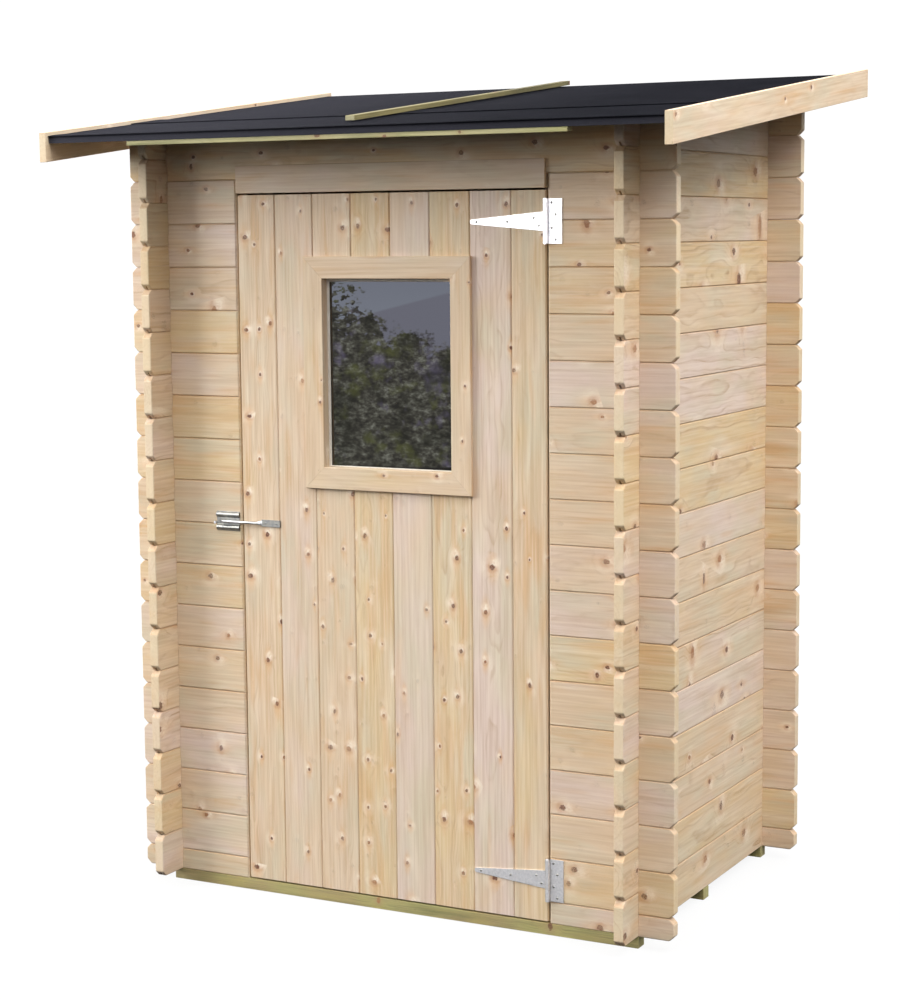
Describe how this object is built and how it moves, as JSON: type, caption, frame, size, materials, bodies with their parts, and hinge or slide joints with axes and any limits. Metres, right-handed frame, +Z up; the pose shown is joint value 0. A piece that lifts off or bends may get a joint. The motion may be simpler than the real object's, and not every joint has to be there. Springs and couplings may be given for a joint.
{
  "type": "garden shed",
  "caption": "Small log garden shed with crossed corners, a lean-to felt roof and one boarded door with a window.",
  "frame": {"origin": "middle of the plan, at the underside of the bearers", "axes": "+Z up, the door on the -Y side, +X to the right as seen from the front"},
  "size_m": [1.86, 1.532, 2.3349],
  "materials": {
    "log_timber": "planed spruce, untreated",
    "door_timber": "planed spruce boards, untreated",
    "planed_timber": "planed spruce, untreated",
    "roof_timber": "sawn spruce boards",
    "floor_timber": "planed spruce boards",
    "treated_timber": "pressure-treated, greenish",
    "roofing_felt": "bitumen felt, fine mineral surface",
    "galvanised_steel": "hot-dip galvanised",
    "window_glass": "clear float glass"
  },
  "bodies": {
    "shed": {"bearer_front": "treated_timber", "bearer_middle": "treated_timber", "bearer_back": "treated_timber", "floor_deck": "floor_timber", "front_wall_left": "log_timber", "front_wall_right": "log_timber", "front_wall_top": "log_timber", "side_wall_left": "log_timber", "side_wall_right": "log_timber", "back_wall": "log_timber", "door_post_left": "planed_timber", "door_post_right": "planed_timber", "door_head_board": "planed_timber", "roof_deck": "roof_timber", "roof_felt_lower": "roofing_felt", "roof_felt_upper": "roofing_felt", "bargeboard_left": "planed_timber", "bargeboard_right": "planed_timber", "felt_batten": "treated_timber", "eave_batten_front": "treated_timber", "eave_batten_back": "treated_timber", "hinge_flange_upper": "galvanised_steel", "hinge_flange_lower": "galvanised_steel", "hinge_pin_upper": "galvanised_steel", "hinge_pin_lower": "galvanised_steel", "latch_keeper": "galvanised_steel"},
    "door": {"door_leaf": "door_timber", "door_ledge_top": "planed_timber", "door_ledge_middle": "planed_timber", "door_ledge_bottom": "planed_timber", "door_brace": "planed_timber", "window_trim_left": "planed_timber", "window_trim_right": "planed_timber", "window_trim_top": "planed_timber", "window_trim_bottom": "planed_timber", "window_inner_frame": "planed_timber", "window_glass": "window_glass", "hinge_strap_upper": "galvanised_steel", "hinge_strap_lower": "galvanised_steel", "latch_bar": "galvanised_steel"}
  },
  "joints": [
    {"name": "door_swing", "type": "hinge", "parent": "shed", "child": "door", "pos_m": [0.4725, -0.4975, 1], "axis": [0, 0, 1], "range_deg": [0, 150]}
  ]
}
